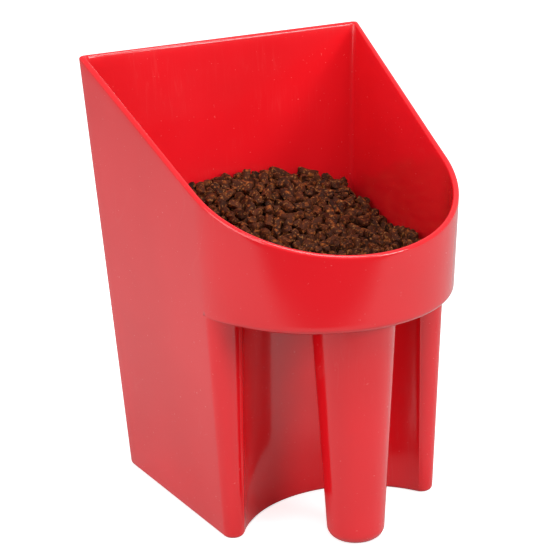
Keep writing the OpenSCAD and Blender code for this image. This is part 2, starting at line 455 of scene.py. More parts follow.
# %% Make the moulding
BACK_N, CORNER_N, SIDE_N, FRONT_N, BAY_N = 12, 7, 24, 64, 44
side_end = column(1)
no_turn = column(0)
front_t = stations(FRONT_N)
bay_t = stations(BAY_N)


def tall_strip(point, n):
    """A strip from the ground to the rim, with n steps along its stretch."""
    return strip_grid(point, stations(n), tall_section(rim_at(point, stations(n))))


apron = [strip_grid(side_point, side_end, apron_section(rim_at(side_point, side_end), no_turn)),
         strip_grid(front_point, front_t, apron_section(rim_at(front_point, front_t), front_t))]
post = [strip_grid(side_point, side_end, low_section(no_turn)),
        strip_grid(post_ridge_point, post_t, low_section(post_flare))]
half = [tall_strip(back_point, BACK_N), tall_strip(corner_point, CORNER_N), tall_strip(side_point, SIDE_N),
        np.concatenate(apron), np.concatenate(post),
        strip_grid(bay_point, bay_t, low_section(flare + 0 * bay_t))]
moulding = build("scoop_moulding", half + [mirrored(grid) for grid in half])

# %% [markdown]
# ## The grip
# The grip is a tapered tube, open into the cup at the top and closed by a rounded foot. It is a
# profile turned about an upright axis, and its top flares into the shelf like the posts do.

# %% Turn the grip
GRIP_TURNS = 96
ROUND_STEPS = 9
GRIP_OUT_STEPS = 24
GRIP_IN_STEPS = 12
grip_lean = (grip_r_high - grip_r_low) / shelf_z


def arc_profile(r, z, radius):
    """Quarter round from the underside to the upright face, as (radius, height) rows."""
    a = np.linspace(0, math.pi / 2, ROUND_STEPS)
    return np.stack([r - radius + radius * np.sin(a), z + radius * (1 - np.cos(a))], 1)


def turned(profile, centre_y, turns):
    """Revolves (radius, height) points: one row per angle, the first row repeated at the end."""
    a = np.linspace(0, 2 * math.pi, turns + 1)[:, None]
    r, z = profile[None, :, 0], profile[None, :, 1]
    return np.stack([r * np.cos(a), centre_y + r * np.sin(a), z + 0 * a], -1)


inner_foot_r = grip_foot_r - wall
grip_outside = arc_profile(grip_r_low + grip_lean * grip_foot_r, 0, grip_foot_r)
grip_inside = arc_profile(grip_r_low + grip_lean * (wall + inner_foot_r) - wall, wall, inner_foot_r)
grip_top = [grip_r_high - grip_lean * flare, shelf_z - flare]
grip_hole = [grip_r_high - wall, shelf_z]
flare_a = np.linspace(0, math.pi / 2, ROUND_STEPS)
grip_flare = np.stack([grip_top[0] + flare * (1 - np.cos(flare_a)),
                       grip_top[1] + flare * np.sin(flare_a)], 1)
grip_profile = np.concatenate([
    [[0, 0]], grip_outside, np.linspace(grip_outside[-1], grip_top, GRIP_OUT_STEPS)[1:-1], grip_flare,
    [grip_hole], np.linspace(grip_hole, grip_inside[-1], GRIP_IN_STEPS)[1:-1], grip_inside[::-1],
    [[0, wall]]])
grip = build("scoop_grip", [turned(grip_profile, grip_y, GRIP_TURNS)], wrap=False)

# %% [markdown]
# ## The pellets
# Compressed feed comes out of a die as short round sticks with broken ends. One stick is five
# rings of eight points and two tips: a few dozen faces are enough, because there are many
# hundreds of them. Each gets its own length, bend, dents and shade, and a whole layer of them is
# one mesh.

# %% The faces of a pellet
rng = np.random.default_rng(7)
pellet_r = 2.25
PELLET_SIDES = 8
ring_place = np.array([-0.5, -0.43, 0.0, 0.43, 0.5])
ring_size = np.array([0.74, 1.0, 1.03, 1.0, 0.74])


def pellet_faces(n):
    """Quads between the rings and triangles to the two tips, for n pellets numbered in a row."""
    rings = len(ring_place)
    i, j = np.meshgrid(np.arange(rings - 1), np.arange(PELLET_SIDES), indexing="ij")
    right = (j + 1) % PELLET_SIDES
    a, b = i * PELLET_SIDES, (i + 1) * PELLET_SIDES
    quads = np.stack([a + j, a + right, b + right, b + j], -1).reshape(1, -1, 4)
    side = np.arange(PELLET_SIDES)
    after = (side + 1) % PELLET_SIDES
    last = (rings - 1) * PELLET_SIDES
    tip = rings * PELLET_SIDES
    first_fan = np.stack([after, side, 0 * side + tip], -1)
    last_fan = np.stack([last + side, last + after, 0 * side + tip + 1], -1)
    fans = np.concatenate([first_fan, last_fan])[None]
    step = (np.arange(n) * (tip + 2))[:, None, None]
    return (quads + step).reshape(-1, 4).tolist() + (fans + step).reshape(-1, 3).tolist()


print("one pellet has", len(pellet_faces(1)), "faces")

# %% [markdown]
# ## Many pellets in one mesh
# A stick has three directions: along it, across it, and its normal. Its rings stand along it. Every
# point gets a random dent, the points near the ends get a random chip, and a square of the
# place along the stick bends it. All sticks of a layer are worked out as one array.

# %% One pellet, many times
DENT = 0.085
CHIP = 0.5
CHIPPED_FROM = 0.2
BEND = 0.9
PELLET_SMOOTH_UP_TO = 50


def unit(v):
    """Vectors scaled to length one."""
    return v / np.linalg.norm(v, axis=-1, keepdims=True)


def pellet_mesh(name, centre, along, normal, length, radius):
    """Rings along each stick, dented and chipped at random and bent in a shallow arc."""
    n = len(centre)
    across = np.cross(normal, along)
    a = np.tile(np.linspace(0, 2 * math.pi, PELLET_SIDES, endpoint=False), len(ring_place))
    k = np.repeat(ring_place, PELLET_SIDES)
    r = np.repeat(ring_size, PELLET_SIDES)
    shape = (n, len(k))
    dent = r * (1 + DENT * rng.standard_normal(shape)) * radius[:, None]
    chip = CHIP * rng.standard_normal(shape) * (np.abs(k) > CHIPPED_FROM)
    u = np.concatenate([k * length[:, None] + chip, [-0.5, 0.5] * length[:, None]], 1)
    v = np.concatenate([dent * np.cos(a), np.zeros((n, 2))], 1)
    w = np.concatenate([dent * np.sin(a), np.zeros((n, 2))], 1)
    arc = rng.uniform(-BEND, BEND, (n, 1)) * (2 * u / length[:, None]) ** 2
    points = (centre[:, None] + u[..., None] * along[:, None]
              + (v + arc)[..., None] * across[:, None] + w[..., None] * normal[:, None])
    mesh = bpy.data.meshes.new(name)
    mesh.from_pydata((points.reshape(-1, 3) * MM).tolist(), [], pellet_faces(n))
    shade = np.repeat(rng.uniform(0, 1, n), points.shape[1])
    mesh.attributes.new("pellet_shade", "FLOAT", "POINT").data.foreach_set("value", shade)
    print(name, n, "pellets,", len(mesh.polygons), "faces")
    return finished(name, mesh, PELLET_SMOOTH_UP_TO)


print("two vectors of length one:", unit(np.array([[3.0, 4.0, 0.0], [0.0, 0.0, 2.0]])).tolist())

# %% [markdown]
# ## The surface of the heap
# The feed lies level across the back, falls toward the front by a slope and a square, and a little
# toward the sides. The heap has the same formula as its solid in the engineering model.

# %% Height of the heap
feed_gap = 0.5
feed_inset = wall + feed_gap
feed_back_h = 145.0
feed_fall = 0.12
feed_curve = 0.0025
feed_crown = 0.0024
feed_cover = 3.0


def heap_height(x, y):
    """Back height less a slope, a square of the distance from the back and a square of x."""
    d = arc_y + back_out(feed_back_h) - feed_inset - y
    fall = feed_fall * d + feed_curve * d * d + feed_crown * x * x
    return np.maximum(shelf_top + feed_gap + feed_cover, feed_back_h - fall)


print("the heap is", round(float(heap_height(0.0, arc_y)), 1), "high over the front's centre")

# %% [markdown]
# ## Where the cup ends
# A pellet near a wall has to know how far it reaches through it. The side walls and the back are
# planes and the front is a cone, so three distances are enough, and each becomes a push back
# inward.

# %% Distance past the walls
TINY = 1e-6


def wall_excess(p, room):
    """How far points reach past the inside of the cup, as a vector back inward for each point."""
    x, y, z = p[..., 0], p[..., 1], p[..., 2]
    side = np.abs(x) - side_x(y, z, wall + room)
    front = np.hypot(x, y - arc_y) - (reach(z) - wall - room)
    back = y - (arc_y + back_out(z) - wall - room)
    push = np.zeros(p.shape)
    over = np.where(y > arc_y, np.maximum(side, 0), 0)
    push[..., 0] -= np.sign(x) * over
    push[..., 1] -= np.maximum(back, 0)
    ahead = np.where(y <= arc_y, np.maximum(front, 0), 0)
    away = np.stack([x, y - arc_y], -1)
    push[..., :2] -= ahead[..., None] * unit(away + TINY)
    return push


outside_point = np.array([[2 * reach(total_h), arc_y + back_out(total_h) / 2, total_h]])
print("a point outside is pushed by", np.round(wall_excess(outside_point, 0.0), 1).tolist())

# %% [markdown]
# ## Pellets scattered over the cup
# Only the top of the heap is seen at rest, so one layer of loose pellets is enough there. They are
# thrown at random over the cup's opening, between the heap's surface and one layer below it, or
# the shelf where that is higher. Places in a wall are thrown away.

# %% Scatter the top pellets
TOP_PELLETS = 1150
TOP_LENGTHS = (5.5, 12.0)
TOP_SIZES = (0.88, 1.1)
LAYER = 12.0
SHELF_BACK_Y = 2.0
SPARE = 4
OPENING_X = 58
OPENING_Y = 76
least_depth = 1.5
extra_crown = 0.0011
top_length = rng.uniform(*TOP_LENGTHS, TOP_PELLETS)
top_radius = pellet_r * rng.uniform(*TOP_SIZES, TOP_PELLETS)


def pile_height(x, y):
    """The heap's surface, a little lower toward the walls."""
    return np.maximum(heap_height(x, y) - extra_crown * x * x, shelf_top + feed_gap + feed_cover)


def pile_floor(x, y, room):
    """The lowest place for a centre: the shelf in front, and one layer below the surface behind."""
    return np.where(y < SHELF_BACK_Y, shelf_top + feed_gap + room, pile_height(x, y) - LAYER)


def scatter_in_cup(n):
    """Random places over the cup's opening, up to a layer deep."""
    x = rng.uniform(-OPENING_X, OPENING_X, SPARE * n)
    y = rng.uniform(-OPENING_Y, OPENING_Y, SPARE * n)
    depth = rng.uniform(least_depth, LAYER, SPARE * n)
    z = np.maximum(pile_height(x, y) - depth, pile_floor(x, y, pellet_r))
    p = np.stack([x, y, z], -1)
    inside = np.abs(wall_excess(p, pellet_r)).sum(-1) == 0
    return p[inside][:n]


top_centre = scatter_in_cup(TOP_PELLETS)
print(len(top_centre), "places, from", np.round(top_centre.min(0), 1), "to", np.round(top_centre.max(0), 1))

# %% [markdown]
# ## Pellets settle against each other
# Pellets thrown at random run through each other. Each one is taken as three balls in a row; balls
# that overlap push their pellets apart and turn them, the walls push them in, the shelf holds
# them up and the heap's surface holds them down. Some dozens of rounds of this, for all pellets
# at once, leave a loose pile. A tree of places finds which balls are near each other.

# %% Neighbours and the floor
bend_room = 0.8


def clear_of_floor(centre, along, length, radius):
    """Lifts pellets whose lower end would go through the bottom or through the shelf."""
    upright = np.abs(along[:, 2])
    low_end = centre[:, 2] - upright * length / 2 - np.sqrt(1 - upright ** 2) * radius
    over_shelf = (centre[:, 2] > shelf_z) & (centre[:, 1] < SHELF_BACK_Y)
    ground = np.where(over_shelf, shelf_top, floor_t) + feed_gap + bend_room
    return centre + np.maximum(ground - low_end, 0)[:, None] * [0.0, 0.0, 1.0]


def near_pairs(flat, owner, reach_mm):
    """Index pairs of balls of different pellets that lie near each other."""
    tree = mathutils.kdtree.KDTree(len(flat))
    for i, p in enumerate(flat.tolist()):
        tree.insert(p, i)
    tree.balance()
    near = [[j for _, j, _ in tree.find_range(p, reach_mm)] for p in flat.tolist()]
    pairs = np.array([(i, j) for i, others in enumerate(near) for j in others if j > i])
    return pairs[owner[pairs[:, 0]] != owner[pairs[:, 1]]].T


first_pairs = near_pairs(top_centre, np.arange(TOP_PELLETS), pellet_r)
print(first_pairs.shape[1], "pairs of pellets are thrown into nearly the same place")

# %% [markdown]
# ## Round after round
# Each round moves a pellet by a share of what its balls ask for. The whole of it would throw the
# pellet into the next one, so the shares are small and the rounds are many. The walls have the
# last word: a few rounds at the end are for them alone.

# %% Settle the top of the heap
SETTLE_ROUNDS = 60
ROUNDS_PER_SEARCH = 6
WALL_ROUNDS = 6
SEARCH_RADII = 3
ball_place = np.array([-0.34, 0.0, 0.34])
shove_share = 0.45
turn_share = 1.2
wall_share = 0.6
wall_room = 0.2
lift_share = 0.9
sink_share = 0.5
last_wall_share = 0.4
last_wall_room = 0.6
loose_top = 0.6


def settle(centre, along, length, radius):
    """Moves pellets until their balls hardly overlap; two balls take half of an overlap each."""
    n = len(centre)
    owner = np.repeat(np.arange(n), len(ball_place))
    ball_r = radius[owner]
    arm = (ball_place * length[:, None])[..., None]
    for k in range(SETTLE_ROUNDS):
        flat = (centre[:, None] + arm * along[:, None]).reshape(-1, 3)
        if k % ROUNDS_PER_SEARCH == 0:
            i, j = near_pairs(flat, owner, SEARCH_RADII * pellet_r)
        gap = flat[i] - flat[j]
        distance = np.linalg.norm(gap, axis=1) + TINY
        overlap = np.maximum(ball_r[i] + ball_r[j] - distance, 0)
        shove = gap * (0.5 * overlap / distance)[:, None]
        push = np.zeros_like(flat)
        np.add.at(push, i, shove)
        np.add.at(push, j, -shove)
        push = push.reshape(n, -1, 3)
        turn = (arm * push).sum(1) / (length[:, None] ** 2)
        centre = centre + shove_share * push.sum(1)
        along = unit(along + turn_share * (turn - (turn * along).sum(1)[:, None] * along))
        ends = centre[:, None] + arm * along[:, None]
        centre = centre + wall_share * wall_excess(ends, radius[:, None] + wall_room).sum(1)
        high = ends[..., 2] + radius[:, None] - pile_height(ends[..., 0], ends[..., 1]) - loose_top
        low = pile_floor(ends[..., 0], ends[..., 1], radius[:, None]) - ends[..., 2]
        centre[:, 2] += lift_share * np.maximum(low, 0).max(1) - sink_share * np.maximum(high, 0).max(1)
    for _ in range(WALL_ROUNDS):
        ends = centre[:, None] + arm * along[:, None]
        centre = centre + last_wall_share * wall_excess(ends, radius[:, None] + last_wall_room).sum(1)
    print("mean overlap left between touching balls", round(float(overlap[overlap > 0].mean()), 2), "mm")
    return centre, along


TILT_SPREAD = 0.45
yaw = rng.uniform(0, 2 * math.pi, TOP_PELLETS)
tilt = rng.normal(0, TILT_SPREAD, TOP_PELLETS)
top_along = np.stack([np.cos(yaw) * np.cos(tilt), np.sin(yaw) * np.cos(tilt), np.sin(tilt)], -1)
top_centre, top_along = settle(top_centre, top_along, top_length, top_radius)
top_centre = clear_of_floor(top_centre, top_along, top_length, top_radius)
top_normal = unit(np.cross(top_along, unit(rng.standard_normal(top_along.shape))))
top_pellets = pellet_mesh("feed_top_pellets", top_centre, top_along, top_normal, top_length,
                          top_radius)

# %% [markdown]
# ## The rest of the feed
# The walls hide the sides of the feed, but they show when it is lifted out. One layer of pellets
# lies along each wall there, flat against it, over a dark core that fills the gaps between them.

# %% Places along a wall
bay_margin = 0.16
PLACE_EVERY = 6.0
side_room = feed_inset + pellet_r
run_step = 0.01
UP = np.array([0.0, 0.0, 1.0])


def bay_middle(t, z, inset):
    """The finger bay without its edge, where a pellet along the wall would reach through the post."""
    return bay_point(bay_margin + (1 - bay_margin) * t, z, inset)


def jittered(n_u, n_v):
    """One random place in each cell of a grid over the unit square."""
    u, v = np.meshgrid(np.arange(n_u), np.arange(n_v), indexing="ij")
    u = (u + rng.uniform(0, 1, u.shape)) / n_u
    v = (v + rng.uniform(0, 1, v.shape)) / n_v
    return u.ravel(), v.ravel()


def against_wall(point, wide, z_low, z_high):
    """Places on one stretch of wall: point, direction along the wall and direction out of it."""
    high = z_high - z_low
    t, k = jittered(max(1, round(wide / PLACE_EVERY)), max(1, round(high / PLACE_EVERY)))
    z = z_low + high * k
    x, y = point(t, z, side_room)
    next_x, next_y = point(t + run_step, z, side_room)
    run = unit(np.stack([next_x - x, next_y - y, 0 * z], -1))
    return np.stack([x, y, z], -1), run, np.cross(run, UP)


def both_sides(p, run, out):
    """The same places mirrored to the other side as well."""
    return [np.concatenate([v, mirrored(v)]) for v in (p, run, out)]


def flat_layer(p):
    """Places on a level face, with level directions."""
    return p, np.zeros_like(p) + [1.0, 0.0, 0.0], np.zeros_like(p) - UP


print("pellets on a wall lie", round(side_room, 2), "inside its face, one in every", PLACE_EVERY, "mm")

# %% [markdown]
# ## One layer for each face of the feed
# The layers follow the faces of the cup: the walls below the shelf, the walls above it up to the
# heap, the bottom, the shelf, and the hollow of the grip. Each wall has its rough width, which
# says how many pellets lie side by side, and a wall above the shelf has the heap's height on it.

# %% Layers of places
BACK_WIDE, SIDE_WIDE, BAY_WIDE, FRONT_WIDE = 72, 86, 50, 96
LOW_WALLS = [(back_point, BACK_WIDE), (side_point, SIDE_WIDE), (bay_middle, BAY_WIDE)]
HIGH_WALLS = [(back_point, BACK_WIDE, 134), (side_point, SIDE_WIDE, 121), (front_point, FRONT_WIDE, 117)]
low_hub = np.array([0.0, 30.0])
hub_share = 0.88
BOTTOM_EVERY = 8
BOTTOM_ROWS = 7
SHELF_GRID = (14, 4)
GRIP_GRID = (10, 14)
plug_start = 4
plug_slack = 0.8
face_room = side_room - wall
layer_top = shelf_top - 2


def bottom_layer(point, wide):
    """Between the hub and one wall, evenly by area: the distance is the root of a random number."""
    t, k = jittered(round(wide / BOTTOM_EVERY), BOTTOM_ROWS)
    level_xy = np.stack(point(t, floor_t + 0 * t, side_room), -1)
    xy = low_hub + (level_xy - low_hub) * (hub_share * np.sqrt(k))[:, None]
    return flat_layer(np.concatenate([xy, floor_t + face_room + 0 * t[:, None]], 1))


def shelf_layer():
    """Between the bay's edge and the rounded front, in a straight blend."""
    t, k = jittered(*SHELF_GRID)
    outer = np.stack(front_point(t, shelf_top, side_room + pellet_r), -1)
    inner = np.stack(bay_point(t, shelf_z, side_room), -1)
    xy = mix(inner, outer, k[:, None])
    return flat_layer(np.concatenate([xy, shelf_top + face_room + 0 * t[:, None]], 1))


def grip_layer():
    """Round the inside of the grip, whose radius grows with the height."""
    a, k = jittered(*GRIP_GRID)
    a, z = 2 * math.pi * a, mix(wall + plug_start, shelf_top, k)
    r = grip_r_low + grip_lean * z - side_room - plug_slack
    around = np.stack([np.cos(a), np.sin(a), 0 * a], -1)
    p = np.stack([r * np.cos(a), grip_y + r * np.sin(a), z], -1)
    return p, np.cross(UP, around), around


def side_layers():
    """All wall, floor, shelf and grip places."""
    layers = [both_sides(*against_wall(f, wide, floor_t + face_room, layer_top)) for f, wide in LOW_WALLS]
    layers += [both_sides(*against_wall(f, wide, shelf_top, heap_low)) for f, wide, heap_low in HIGH_WALLS]
    layers += [both_sides(*bottom_layer(f, wide)) for f, wide in LOW_WALLS]
    layers += [both_sides(*shelf_layer()), grip_layer()]
    return [np.concatenate([layer[i] for layer in layers]) for i in range(3)]


side_centre, side_run, side_out = side_layers()
print(len(side_centre), "places along the walls")

# %% [markdown]
# ## Laid along the walls
# Each pellet gets its own direction in the plane of its wall. The corner posts are too narrow for
# pellets that lie across, so slim ones stand in them, one over the other.

# %% Pellets along the walls
SIDE_LENGTHS = (5.5, 10)
SIDE_SIZES = (0.8, 0.95)
POST_PELLETS = 14
POST_PART = (0.2, 0.8)
post_slack = 0.6
post_top = shelf_top - 6


def post_pellets(n):
    """Slim pellets that stand in the two corner posts, one over the other."""
    steps = (np.arange(n) + rng.uniform(0, post_slack, n)) / n
    z = np.repeat(mix(floor_t + side_room, post_top, steps), 2)
    t = rng.uniform(*POST_PART, 2 * n)
    x, y = post_point(t, z, side_room)
    centre = np.stack([x * np.tile([1.0, -1.0], n), y, z], -1)
    return centre, np.zeros_like(centre) + UP, np.zeros_like(centre) + [0.0, -1.0, 0.0]


phi = rng.uniform(0, math.pi, len(side_centre))[:, None]
side_up = np.cross(side_out, side_run)
side_along = unit(side_run * np.cos(phi) + side_up * np.sin(phi))
standing, standing_along, standing_out = post_pellets(POST_PELLETS)
side_centre = np.concatenate([side_centre, standing])
side_along = np.concatenate([side_along, standing_along])
side_out = np.concatenate([side_out, standing_out])
side_length = rng.uniform(*SIDE_LENGTHS, len(side_centre))
side_radius = pellet_r * rng.uniform(*SIDE_SIZES, len(side_centre))
side_centre = clear_of_floor(side_centre, side_along, side_length, side_radius)
side_pellets = pellet_mesh("feed_side_pellets", side_centre, side_along, unit(side_out), side_length,
                           side_radius)

# %% [markdown]
# ## The core of the feed
# Under the pellets lies a plain dark body; its dark colour is painted shade in the gaps between the
# pellets. It is three closed shapes: the part below the shelf, the part above it under the heap's
# surface, and the plug in the grip. Each is a stack of rings that closes to a point at both ends.

# %% Stacks of rings
core_depth = 4.2
core_inset = feed_inset + core_depth
CORE_N = 14
CORE_RINGS = np.linspace(0.92, 0.0, 12)


def ring_of(stretches, z, inset):
    """The outline all round at one height, as one row of (x, y)."""
    t = np.linspace(0, 1, CORE_N)
    right = np.concatenate([np.stack(f(t, z, inset), -1) for f in stretches])
    return np.concatenate([right, (right * [-1.0, 1.0])[::-1]])


def closed_stack(rings, hub):
    """Rings at rising heights, shrunk to the hub at both ends."""
    rows = []
    upward = [(k, rings[0]) for k in CORE_RINGS[::-1]] + [(1.0, ring) for ring in rings]
    for k, (xy, z) in upward + [(k, rings[-1]) for k in CORE_RINGS]:
        p = hub + (xy - hub) * k
        rows.append(np.concatenate([p, z(p)[:, None]], 1))
    return np.stack(rows)


def level(z):
    """A level ring at height z."""
    return lambda p: z + 0 * p[:, 0]


high_walls = (back_point, corner_point, side_point, front_point)
print("a ring above the shelf has", len(ring_of(high_walls, shelf_top, core_inset)), "points")

# %% [markdown]
# ## The core over the shelf
# The upper part follows the heap's surface from below, so that no gap between two pellets opens
# on bare plastic; its dark colour paints shade into those gaps. Over the shelf it is a thin dark bed.
# Behind the shelf it reaches down into the lower part.

# %% The core's upper part
low_core_top = shelf_z - 4
core_dip = 2.0
top_cover = 9.0
# The thin dark bed over the shelf carries painted shade for the gaps between the top pellets.
dark_bed_top = 1.4
dark_bed_bottom = 0.8
core_least = 0.6
edge_blend = 4
high_ring_z = shelf_top + 8


def behind_shelf(p):
    """0 over the shelf, 1 behind it, with a short straight blend at its edge."""
    return np.clip((p[:, 1] - SHELF_BACK_Y) / edge_blend, 0, 1)


def high_top(p):
    """Under the top pellets: a thin dark bed on the shelf, and deeper behind it."""
    bed = shelf_top + dark_bed_top - behind_shelf(p) * 2 * top_cover
    return np.maximum(pile_height(p[:, 0], p[:, 1]) - top_cover, bed)


def high_bottom(p):
    """On the shelf in front, down in the lower core behind it, and always under the top."""
    bed = mix(shelf_top + dark_bed_bottom, low_core_top - core_dip, behind_shelf(p))
    return np.minimum(bed, high_top(p) - core_least)


high_ring = ring_of(high_walls, high_ring_z, core_inset)
high_core = closed_stack([(high_ring, high_bottom), (high_ring, high_top)], np.array([0.0, arc_y]))
print("the upper part has", high_core.shape[0], "rings")

# %% [markdown]
# ## The core below the shelf and in the grip
# The lower part keeps one distance from the walls all the way down, so its rings are the outline
# itself with a deeper inset. The plug is a round stack that widens with the grip.

# %% Make the core
LOW_RINGS = 8
PLUG_POINTS = 48
plug_top = shelf_top + 3
low_walls = (back_point, corner_point, side_point, post_point, bay_point)
low_core = closed_stack([(ring_of(low_walls, z, core_inset), level(z))
                         for z in np.linspace(floor_t + core_depth, low_core_top, LOW_RINGS)], low_hub)
plug_turns = np.linspace(0, 2 * math.pi, PLUG_POINTS)
plug_ring = np.stack([np.cos(plug_turns), np.sin(plug_turns)], -1)
plug_hub = np.array([0.0, grip_y])
plug_core = closed_stack([(plug_hub + plug_ring * (grip_r_low + grip_lean * z - core_inset), level(z))
                          for z in (wall + core_depth, plug_top)], plug_hub)
feed_core = build("feed_core", [low_core, high_core, plug_core])

# %% [markdown]
# ## Writing shader maths as sums
# A material is a graph of nodes. To read like maths, a socket is wrapped in a small class whose
# operators add the Math nodes: 1 - mask makes a subtraction. Any other node comes from one method.

# %% Arithmetic on sockets


class Flow:
    """One output socket of a node tree, with arithmetic."""

    def __init__(self, material, socket):
        self.material = material
        self.socket = socket

    def _math(self, operation, a, b=0.0):
        return self.material.node("ShaderNodeMath", {"operation": operation}, {0: a, 1: b})

    def __add__(self, other):
        return self._math("ADD", self, other)

    __radd__ = __add__

    def __mul__(self, other):
        return self._math("MULTIPLY", self, other)

    __rmul__ = __mul__

    def __sub__(self, other):
        return self._math("SUBTRACT", self, other)

    def __rsub__(self, other):
        return self._math("SUBTRACT", other, self)

    def clamp(self, low, high):
        """Held between two numbers."""
        return self._math("MINIMUM", self._math("MAXIMUM", self, low), high)

    def window(self, low, high):
        """0 below low, 1 above high, smooth between."""
        return self.material.node("ShaderNodeMapRange", {"interpolation_type": "SMOOTHSTEP"},
                                  {"Value": self, "From Min": low, "From Max": high})


print("a flow knows", sorted(name for name in vars(Flow) if not name.startswith("__")))

# %% [markdown]
# ## One class for a whole material
# A material starts with one Principled shader. One method adds any node, and a few short methods
# stand for the nodes that come back often: a noise, a blend of two colours, a bump.

# %% A material that adds its own nodes


class Material:
    """A material with one Principled shader."""

    def __init__(self, name):
        self.made = bpy.data.materials.new(name)
        self.made.use_nodes = True
        self.tree = self.made.node_tree
        self.shader = self.tree.nodes["Principled BSDF"]

    def node(self, kind, settings=None, inputs=None, output=0):
        """Adds a node: its settings first, then the values or links of its sockets."""
        new = self.tree.nodes.new(kind)
        for key, value in (settings or {}).items():
            setattr(new, key, value)
        for key, value in (inputs or {}).items():
            self.put(new.inputs[key], value)
        return Flow(self, new.outputs[output])

    def put(self, socket, value):
        """A link if the value flows, a constant if it doesn't."""
        if isinstance(value, Flow):
            self.tree.links.new(value.socket, socket)
        else:
            socket.default_value = value

    def set(self, **values):
        """Sets the shader's sockets; an underscore stands for a space."""
        for key, value in values.items():
            self.put(self.shader.inputs[key.replace("_", " ")], value)

    def place(self, scale=(1, 1, 1), turn=(0, 0, 0)):
        """Object coordinates, stretched and turned by a Mapping node."""
        here = self.node("ShaderNodeTexCoord", output="Object")
        return self.node("ShaderNodeMapping", {}, {"Vector": here, "Scale": scale, "Rotation": turn})

    def noise(self, scale, where, detail=3.0, roughness=0.5):
        """Noise as a number around 0.5."""
        return self.node("ShaderNodeTexNoise", {}, {"Vector": where, "Scale": scale, "Detail": detail,
                                                   "Roughness": roughness})

    def blend(self, amount, a, b):
        """Mixes two colours."""
        return self.node("ShaderNodeMix", {"data_type": "RGBA"}, {"Factor": amount, "A": a, "B": b},
                         output="Result")

    def bump(self, height, distance, strength, normal=None):
        """Bump from a height, on top of another bump if one is given."""
        inputs = {"Height": height, "Distance": distance, "Strength": strength}
        if normal is not None:
            inputs["Normal"] = normal
        return self.node("ShaderNodeBump", {}, inputs)


print("a material has", sorted(name for name in vars(Material) if not name.startswith("_")))

# %% [markdown]
# ## Glossy red plastic
# Moulded polypropylene is shiny but never perfect: the gloss has a faint orange-peel ripple, the
# walls sink by a few hundredths of a millimetre, use leaves fine hairline scratches and dust, and
# the pigment is a little deeper in some places. All of it is small, so the red stays clean.

# %% The scoop's material
RED_DEEP = (0.78, 0.008, 0.014, 1)
RED_CLEAR = (0.86, 0.011, 0.019, 1)
DUST_PINK = (0.9, 0.42, 0.38, 1)
LINE_STRETCH = (0.035, 0.05)
LINE_SHARPNESS = 9000
MIDDLE = 0.5


def hairlines(material, turn, scale):
    """Thin long marks: noise stretched hard in one direction, kept only near its middle value."""
    where = material.place((scale, scale * LINE_STRETCH[0], scale * LINE_STRETCH[1]), turn)
    line = material.noise(1.0, where, 2.0)
    near = 1 - (line - MIDDLE) * (line - MIDDLE) * LINE_SHARPNESS
    patch = material.noise(22.0, material.place(), 2.0).window(0.5, 0.68)
    return near.clamp(0, 1) * patch


def red_plastic():
    """Base colour, roughness and bump of the moulding."""
    m = Material("glossy_red_plastic")
    here = m.place()
    broad = m.noise(14.0, here, 2.0)
    haze = m.noise(60.0, here, 4.0, 0.6).window(0.45, 0.75)
    marks = (hairlines(m, (0.3, 0.2, 0.5), 260.0) + hairlines(m, (1.2, 0.4, 2.1), 320.0)).clamp(0, 1)
    dust = m.noise(900.0, here, 1.0).window(0.74, 0.8)
    red = m.blend(broad.window(0.3, 0.7), RED_DEEP, RED_CLEAR)
    dusty = m.blend(dust * 0.15 + marks * 0.02, red, DUST_PINK)
    m.set(Base_Color=dusty, Roughness=0.15 + haze * 0.05 + marks * 0.07 + dust * 0.15,
          Coat_Weight=0.35, Coat_Roughness=0.06, IOR=1.49, Specular_IOR_Level=0.5)
    sink = m.bump(broad, 0.0004, 0.35)
    peel = m.bump(m.noise(420.0, here, 2.0), 0.00002, 0.5, sink)
    m.set(Normal=m.bump(marks, 0.00002, 0.4, peel))
    return m.made


plastic = red_plastic()
print(plastic.name, "has", len(plastic.node_tree.nodes), "nodes")

# %% [markdown]
# ## Brown feed
# A pellet is ground meal pressed together: its shade changes from stick to stick, the grain of
# the meal shows in its colour and as a fine relief, and pale flecks of bran show through. The
# core takes the same recipe in much darker browns, as painted shade for the gaps between pellets.

# %% The feed's materials
BRAN = (0.50, 0.21, 0.06, 1)
PELLET_SHADES = (0.017, 0.0038, 0.0010, 1), (0.078, 0.0165, 0.0035, 1), (0.40, 0.105, 0.018, 1)
# The core's browns are much darker than the pellets': painted shade for the gaps between pellets.
CORE_PAINTED_SHADE_TONES = (0.012, 0.004, 0.002, 1), (0.035, 0.012, 0.006, 1), (0.07, 0.025, 0.01, 1)


def feed(name, dark, middle, light):
    """Colour by pellet, then by grain, with flecks of bran."""
    m = Material(name)
    here = m.place()
    shade = m.node("ShaderNodeAttribute", {"attribute_name": "pellet_shade"}, output="Fac")
    grain = m.noise(480.0, here, 4.0, 0.65)
    patch = m.noise(160.0, here, 2.0)
    fleck = m.noise(800.0, here, 1.0).window(0.62, 0.72)
    body = m.blend((shade * 0.7 + patch * 0.6 - 0.15).clamp(0, 1), dark, middle)
    body = m.blend((grain.window(0.50, 0.70) * 0.7).clamp(0, 1), body, light)
    m.set(Base_Color=m.blend(fleck * 0.5, body, BRAN), Roughness=0.6 + grain * 0.35,
          Specular_IOR_Level=0.2)
    m.set(Normal=m.bump(grain + patch * 0.6, 0.0005, 0.8))
    return m.made


pellet_brown = feed("pellet_brown", *PELLET_SHADES)
# The core's material is painted shade: the pellets' recipe in darker browns.
core_painted_shade = feed("core_painted_shade", *CORE_PAINTED_SHADE_TONES)
print(pellet_brown.name, "and", core_painted_shade.name, "have", len(pellet_brown.node_tree.nodes), "nodes each")

# %% [markdown]
# ## What rides on what
# The skin and the grip belong to the scoop, and stand for the solids that they cover. The shelf
# and the bottom plate are flat, so their solids stay and only take the same plastic. The pellets
# and their core belong to the feed.

